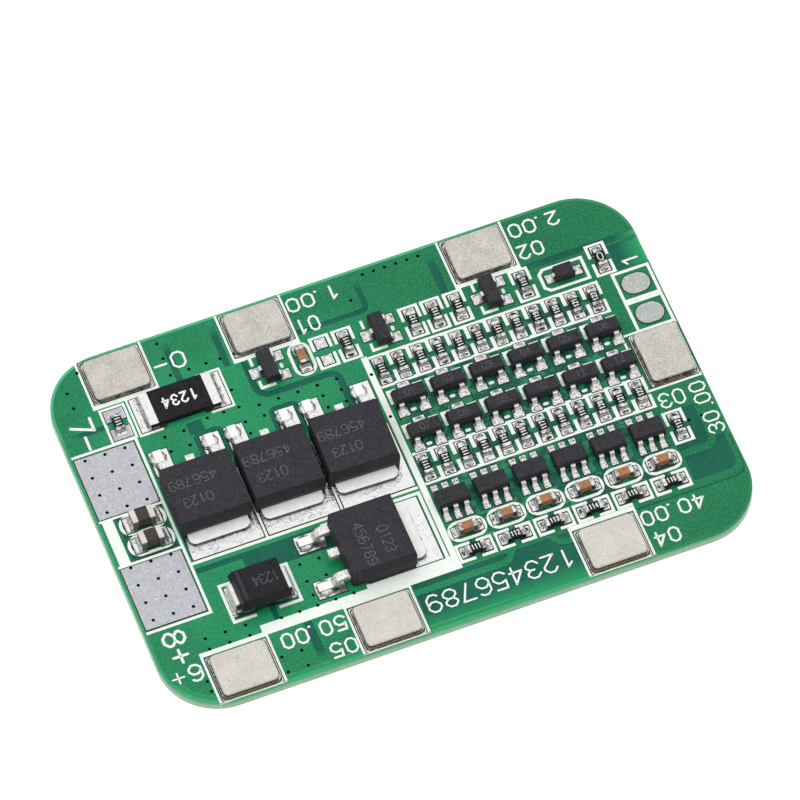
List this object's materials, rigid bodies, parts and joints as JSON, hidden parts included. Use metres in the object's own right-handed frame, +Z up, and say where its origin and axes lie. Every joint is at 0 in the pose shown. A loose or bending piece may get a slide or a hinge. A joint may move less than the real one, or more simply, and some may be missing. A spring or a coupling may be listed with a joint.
{
  "type": "battery management board",
  "caption": "Battery management board: rounded green circuit board with soldered cell tabs, tinned load pads, power switches, a current shunt and rows of cell-monitor parts.",
  "frame": {"origin": "centre of the board's underside", "axes": "+X along the long edges, from the load pads' end to the side tab's end; +Y towards the edge with tabs B-, B1 and B2; +Z up, out of the populated face"},
  "size_m": [0.0524, 0.0352, 0.0033],
  "materials": {
    "solder_mask": "semi-gloss green solder mask over copper and laminate",
    "tinned_copper": "hot-air levelled tin, satin",
    "white_ink": "screen-printed white ink",
    "solder": "bright reflowed solder",
    "nickel_tab": "nickel-plated steel strip, fine rolled grain",
    "black_moulding": "charcoal moulding compound, matte",
    "tinned_lead": "tinned copper lead",
    "resistor_coat": "black glaze",
    "tan_ceramic": "fired ceramic, tan",
    "brown_ceramic": "fired ceramic, dark brown"
  },
  "bodies": {
    "root": {"circuit_board": "solder_mask", "solder_pads": "tinned_copper", "silkscreen": "white_ink", "tab_solder": "solder", "part_solder": "solder", "tab_b_minus": "nickel_tab", "tab_b1": "nickel_tab", "tab_b2": "nickel_tab", "tab_b3": "nickel_tab", "tab_b4": "nickel_tab", "tab_b5": "nickel_tab", "tab_b_plus": "nickel_tab", "power_switch_1_body": "black_moulding", "power_switch_1_leadframe": "tinned_lead", "power_switch_2_body": "black_moulding", "power_switch_2_leadframe": "tinned_lead", "power_switch_3_body": "black_moulding", "power_switch_3_leadframe": "tinned_lead", "power_switch_4_body": "black_moulding", "power_switch_4_leadframe": "tinned_lead", "monitor_1_body": "black_moulding", "monitor_2_body": "black_moulding", "monitor_3_body": "black_moulding", "monitor_4_body": "black_moulding", "monitor_5_body": "black_moulding", "monitor_6_body": "black_moulding", "monitor_leads": "tinned_lead", "upper_transistor_bodies": "black_moulding", "upper_transistor_leads": "tinned_lead", "lower_transistor_bodies": "black_moulding", "lower_transistor_leads": "tinned_lead", "rear_transistor_bodies": "black_moulding", "rear_transistor_leads": "tinned_lead", "upper_resistor_bodies": "resistor_coat", "upper_resistor_caps": "tinned_lead", "lower_resistor_bodies": "resistor_coat", "lower_resistor_caps": "tinned_lead", "front_resistor_bodies": "resistor_coat", "front_resistor_caps": "tinned_lead", "rear_resistor_bodies": "resistor_coat", "rear_resistor_caps": "tinned_lead", "side_resistor_bodies": "resistor_coat", "side_resistor_caps": "tinned_lead", "ceramic_capacitor_bodies": "tan_ceramic", "ceramic_capacitor_caps": "tinned_lead", "load_capacitor_bodies": "brown_ceramic", "load_capacitor_caps": "tinned_lead", "shunt_body": "resistor_coat", "shunt_caps": "tinned_lead", "clamp_diode_body": "black_moulding", "clamp_diode_leads": "tinned_lead", "signal_diode_body": "black_moulding", "signal_diode_leads": "tinned_lead"}
  },
  "joints": []
}
